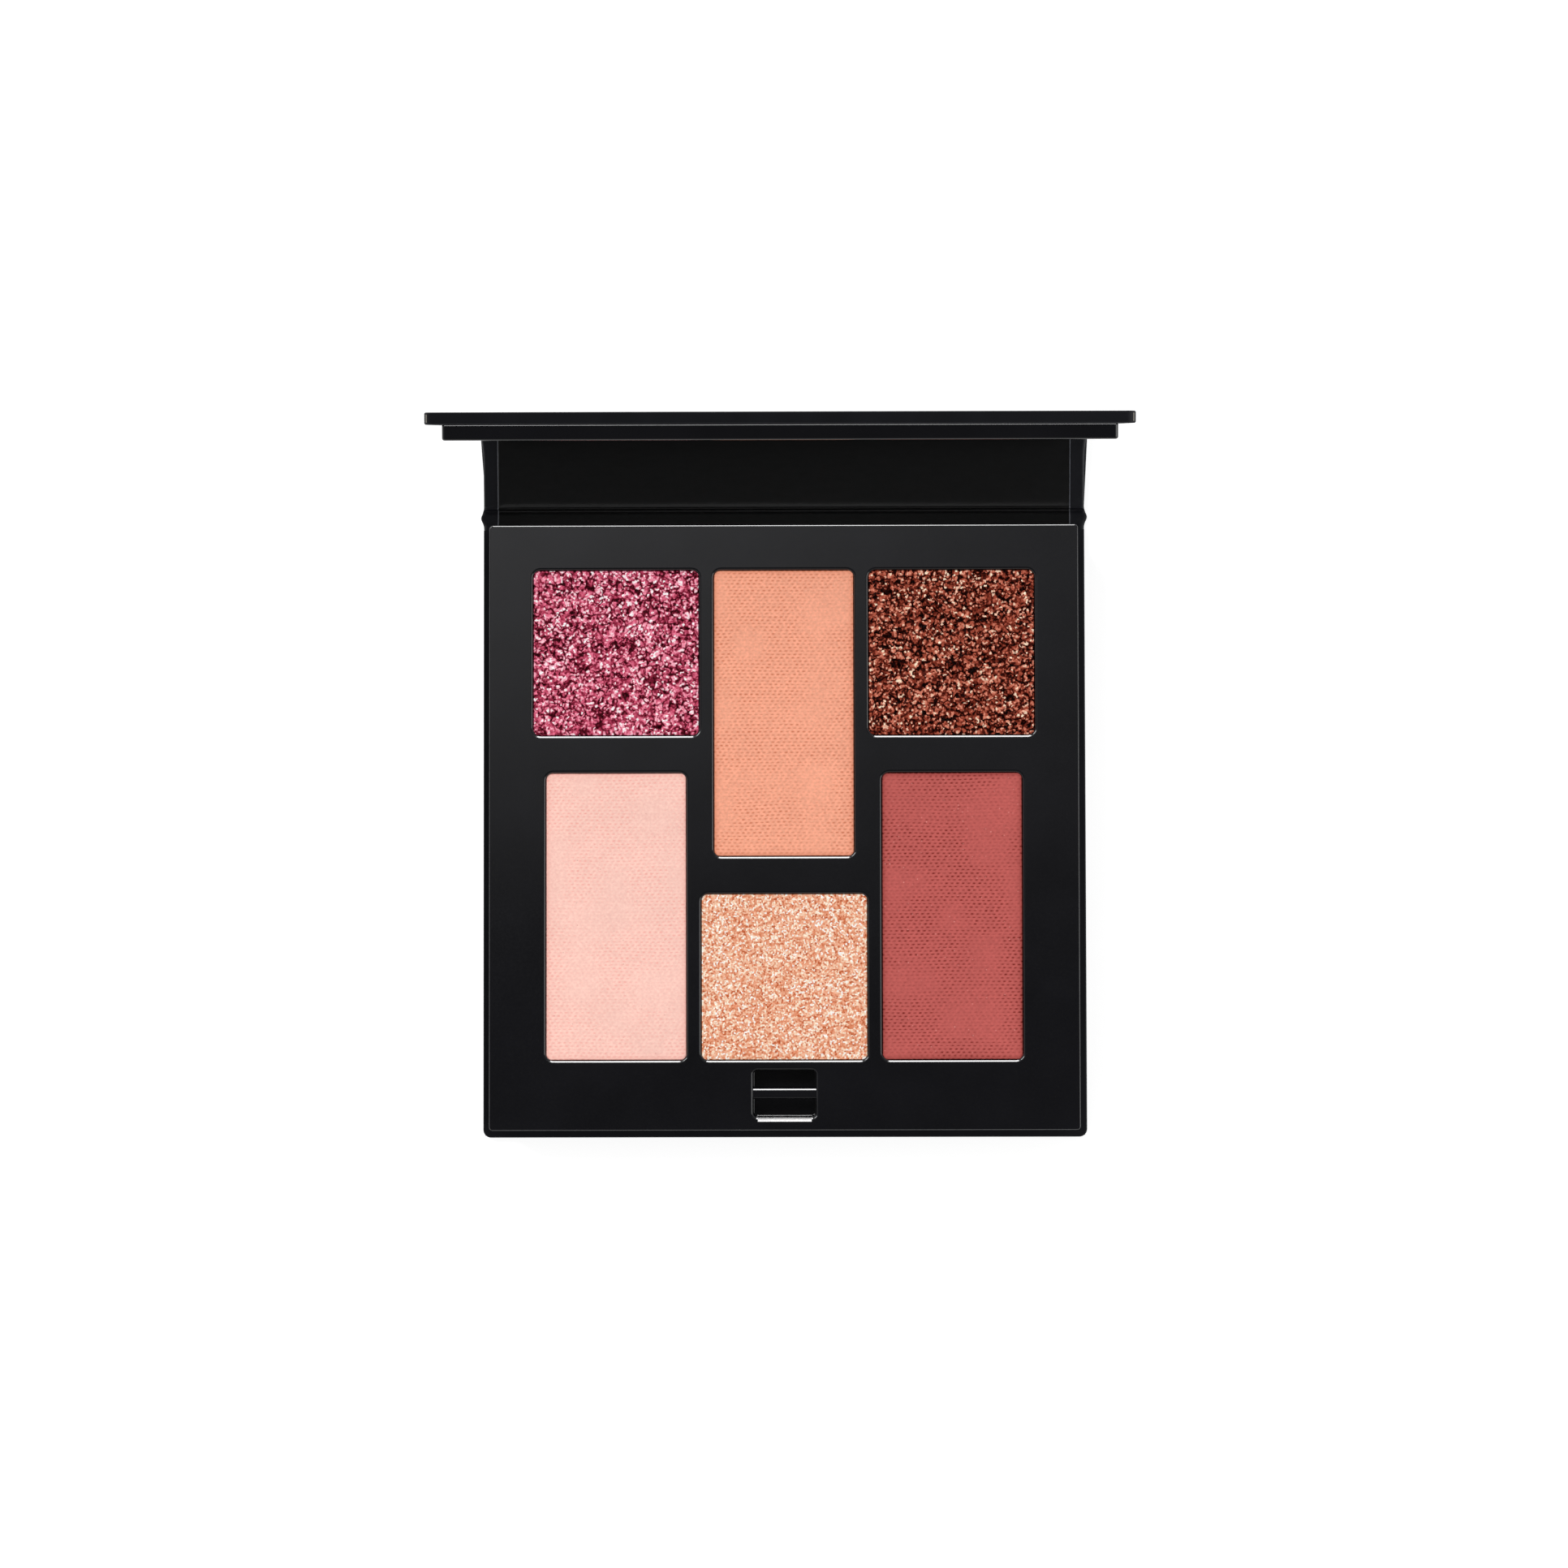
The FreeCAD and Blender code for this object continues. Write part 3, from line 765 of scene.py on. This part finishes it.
    def world(self, scene):
        """White backdrop to the eye; overhead, a dim studio."""
        made = bpy.data.worlds.new("studio")
        scene.world = made
        made.use_nodes = True
        tree = made.node_tree
        tree.nodes.clear()
        path = node(tree, "ShaderNodeLightPath")
        way = node(tree, "ShaderNodeTexCoord").outputs["Generated"]
        height = node(tree, "ShaderNodeSeparateXYZ", {0: way})
        above = node(tree, "ShaderNodeMapRange",
                     {"Value": height.outputs["Z"], "From Min": 0.3, "From Max": 0.95,
                      "To Min": SKY_MIDDLE, "To Max": SKY_ZENITH})
        low = node(tree, "ShaderNodeMapRange",
                   {"Value": height.outputs["Z"], "From Min": 0.08, "From Max": 0.3,
                    "To Min": 1.0, "To Max": 0.0})
        glossy = node(tree, "ShaderNodeMix",
                      {0: low.outputs["Result"], VALUE_A: above.outputs["Result"], VALUE_B: SKY_HORIZON})
        first = node(tree, "ShaderNodeMix",
                     {0: path.outputs["Is Glossy Ray"], VALUE_A: SKY_DULL, VALUE_B: glossy.outputs[0]})
        clear = node(tree, "ShaderNodeMath", {0: path.outputs["Is Camera Ray"],
                                              1: path.outputs["Is Transmission Ray"]}, operation="MAXIMUM")
        level = node(tree, "ShaderNodeMix", {0: clear.outputs[0], VALUE_A: first.outputs[0], VALUE_B: 1.0})
        sky = node(tree, "ShaderNodeBackground", {"Color": (1, 1, 1, 1), "Strength": level.outputs[0]})
        node(tree, "ShaderNodeOutputWorld", {"Surface": sky.outputs[0]})


class PALETTE_OT_cover(bpy.types.Operator):
    """Boards, wrap, liner and glue layers of the book cover"""
    bl_idname = "palette.cover"
    bl_label = "Cover"

    def execute(self, context):
        # The third paper is the pale line painted as a highlight along the liner's cut edges
        wrap, liner, core = soft_touch_wrap(), liner_paper(), edge_highlight_paper()
        dress(["base_wrap", "lid_wrap"], wrap)
        self.folds([wrap, liner, core])
        dress(["base_board", "spine_board", "lid_board"], greyboard())
        dress(["tray_adhesive", "pan_adhesive", "lid_adhesive", "mirror_adhesive"], glue_film())
        return {"FINISHED"}

    def folds(self, papers):
        """Spine and creases, gathered at their ends, with the liner's cut edges running down them."""
        base, lid, along, up = fold_frame()
        knot = sizes().fold_knot
        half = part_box("spine_wrap")[1].x
        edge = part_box("spine_liner")[1].x
        reach = (base[0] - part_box("base_crease")[0].y) / MM
        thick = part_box("base_wrap")[1].z / MM
        span = np.linalg.norm(lid - base) / MM - 2 * reach
        low = base[1] / MM

        def level(points, count):
            return base + rounded_path(points, count)

        def leaning(origin, points, count):
            path = rounded_path(points, count)
            return origin + path[:, :1] * along + path[:, 1:] * up

        made = paper_strip(
            "base_fold",
            level([(-reach - 0.05, 1.22), (-1.15, 1.0), (-0.7, 0.74), (0, 0.66), (0.65, 0.6), (0.98, 0.4),
                   (1.14, 0.4), (1.3, 1.2), (1.5, 1.25)], 40),
            level([(1.6, 0.08), (0.81, -0.02), (0.2, -0.11), (-0.2, -0.12), (-reach - 0.05, -0.12)], 40),
            half, 0.5 * MM, (base + np.array([0.2, 0.4]) * MM, 0.8 * MM, knot), edge, papers,
            "base_crease")
        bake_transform(made)

        start = base + reach * MM * along - low * MM * up
        made = paper_strip(
            "spine_cover",
            leaning(start, [(0, 0.7), (0.02, thick - 0.15), (0.15, thick), (span - 0.15, thick),
                            (span - 0.02, thick - 0.15), (span, 0.7)], 70),
            leaning(start, [(span, 0.7), (span - 0.02, 0.15), (span - 0.15, 0), (0.15, 0), (0.02, 0.15),
                            (0, 0.7)], 70),
            half, 0.35 * MM, (start + span * MM * along + 0.7 * MM * up, 2.2 * MM, knot), 2 * half, papers,
            "spine_wrap", "spine")
        made.data.polygons.foreach_set("material_index", np.zeros(len(made.data.polygons), np.int32))

        top = thick + 0.15
        paper_strip(
            "spine_lining",
            leaning(start, [(-0.06, 0.9), (-0.06, thick - 0.15), (0.12, top - 0.08), (0.6, top),
                            (span - 0.6, top), (span - 0.12, top - 0.08), (span, thick - 0.15)], 60),
            leaning(start, [(span - 0.1, thick - 0.2), (span - 0.4, thick - 0.02), (0.4, thick - 0.02),
                            (0.15, thick - 0.2), (0.04, 0.9)], 60),
            edge, 0.1 * MM, (start, 0.1 * MM, 0.0), edge - 0.04 * MM, papers,
            "spine_liner", "spine")

        made = paper_strip(
            "lid_fold",
            leaning(lid, [(-reach - 0.05, 1.1), (-1.2, 0.85), (-0.75, 0.62), (-0.56, 0.58), (-0.62, 0.75),
                          (-0.85, 1.2), (-1.1, reach + 0.05)], 40),
            leaning(lid, [(0.12, reach + 0.05), (0.12, 0.8), (0.09, 0.3), (0, 0), (-0.3, -0.09),
                          (-0.8, -0.12), (-reach - 0.05, -0.12)], 40),
            half, 0.5 * MM, (lid + 0.4 * MM * (up - along), 0.9 * MM, 0.8 * knot), edge, papers,
            "lid_crease")
        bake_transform(made)


class PALETTE_OT_mouldings(bpy.types.Operator):
    """Gloss black tray and mirror frame, and the mirror"""
    bl_idname = "palette.mouldings"
    bl_label = "Tray, frame and mirror"

    def execute(self, context):
        dress(["tray", "mirror_frame"], piano_black())
        dress(["mirror_glass"], silvered_glass())
        return {"FINISHED"}


class PALETTE_OT_pans(bpy.types.Operator):
    """Drawn metal pans"""
    bl_idname = "palette.pans"
    bl_label = "Pans"

    def execute(self, context):
        dress(pan_names(), tinplate())
        return {"FINISHED"}


class PALETTE_OT_matte_cakes(bpy.types.Operator):
    """Orange, pale pink and red matte powders"""
    bl_idname = "palette.matte_cakes"
    bl_label = "Matte powders"

    def execute(self, context):
        c = colours()
        # Per cake: its colour, a colour for dimples and painted edge shade, and a fleck colour (painted
        # glints on orange and red, dark grains on pale pink)
        for name, slot_name, colour, dimple, fleck, amount, seed in (
                ("orange", "orange_matte", c.orange, "#cd7250", "#ffd9c6", 0.6, 10),
                ("pale_pink", "pale_pink_matte", c.pale_pink, "#f3aa9e", "#c07c70", 0.8, 20),
                ("red", "red_matte", c.red, "#701a12", "#f3b3aa", 0.9, 30)):
            powder = matte_powder(
                "pressed_" + name + "_powder", tuple(colour), linear(dimple), linear(fleck), amount)
            press_cake("powder_" + name, powder, SEED + seed)
        return {"FINISHED"}


class PALETTE_OT_glitter_cakes(bpy.types.Operator):
    """Pink and brown glitters and the champagne shimmer"""
    bl_idname = "palette.glitter_cakes"
    bl_label = "Glitter powders"

    def execute(self, context):
        c, s = colours(), sizes()
        # Each ramp: darkest stops are painted shade in the cracks, whitest stops painted glints
        pink = glitter_powder("pressed_pink_mica", [
            (0.0, linear("#200004")), (0.15, linear("#5e0c1e")), (0.34, linear("#942843")),
            (0.54, tuple(c.pink)), (0.73, linear("#e87693")), (0.88, linear("#ffb2c4")),
            (1.0, linear("#ffffff"))], 0.1, 0.35)
        brown = glitter_powder("pressed_brown_mica", [
            (0.0, linear("#050000")), (0.16, linear("#220301")), (0.36, linear("#4e140a")),
            (0.56, tuple(c.brown)), (0.76, linear("#b25742")), (0.92, linear("#e49077")),
            (1.0, linear("#ffecd0"))], 0.1, 0.35)
        champagne = glitter_powder("pressed_champagne_mica", [
            (0.0, linear("#bc5428")), (0.14, linear("#dc865e")), (0.32, linear("#e89d7a")),
            (0.52, tuple(c.champagne)), (0.72, linear("#f8ceb0")), (0.88, linear("#fff0da")),
            (1.0, linear("#ffffff"))], 0.1, 0.4)
        # Shares of flake, clump, drift and crack in a flake's tone; the crack share is painted shade
        glitter, shimmer = (0.62, 0.1, 0.06, 0.7), (0.85, 0.06, 0.08, 0.1)
        for name, material, slot_name, seed, flake, clump, relief, tilt, weights in (
                ("pink_glitter", pink, "pink_glitter", 40, s.flake, s.clump, 0.12, 0.3, glitter),
                ("brown_glitter", brown, "brown_glitter", 50, s.flake, s.clump, 0.12, 0.3, glitter),
                ("champagne", champagne, "champagne_shimmer", 60, s.shimmer, 0.7 * s.clump,
                 0.04, 0.22, shimmer)):
            flake_cake("powder_" + name, material, SEED + seed, flake, clump,
                       relief * MM, tilt, weights)
        return {"FINISHED"}


class PALETTE_PT_looks(bpy.types.Panel):
    """Values of the looks, and the steps that dress the palette"""
    bl_idname = "PALETTE_PT_looks"
    bl_label = "Eyeshadow palette"
    bl_space_type = "VIEW_3D"
    bl_region_type = "UI"
    bl_category = "Palette"

    def draw(self, context):
        for group in (context.scene.palette_colours, context.scene.palette_sizes):
            for key in group.__annotations__:
                self.layout.prop(group, key)
        for step in STEPS:
            self.layout.operator(step.bl_idname)


GROUPS = (PaletteColours, PaletteSizes)
STEPS = (PALETTE_OT_cover, PALETTE_OT_mouldings, PALETTE_OT_pans, PALETTE_OT_matte_cakes,
         PALETTE_OT_glitter_cakes, PALETTE_OT_stage)


def register():
    for made in (*GROUPS, *STEPS, PALETTE_PT_looks):
        bpy.utils.register_class(made)
    bpy.types.Scene.palette_colours = bpy.props.PointerProperty(type=PaletteColours)
    bpy.types.Scene.palette_sizes = bpy.props.PointerProperty(type=PaletteSizes)


def unregister():
    del bpy.types.Scene.palette_colours
    del bpy.types.Scene.palette_sizes
    for made in reversed((*GROUPS, *STEPS, PALETTE_PT_looks)):
        bpy.utils.unregister_class(made)


def main():
    register()
    for step in STEPS:
        group, name = step.bl_idname.split(".")
        getattr(getattr(bpy.ops, group), name)()


if __name__ == "__main__":
    main()
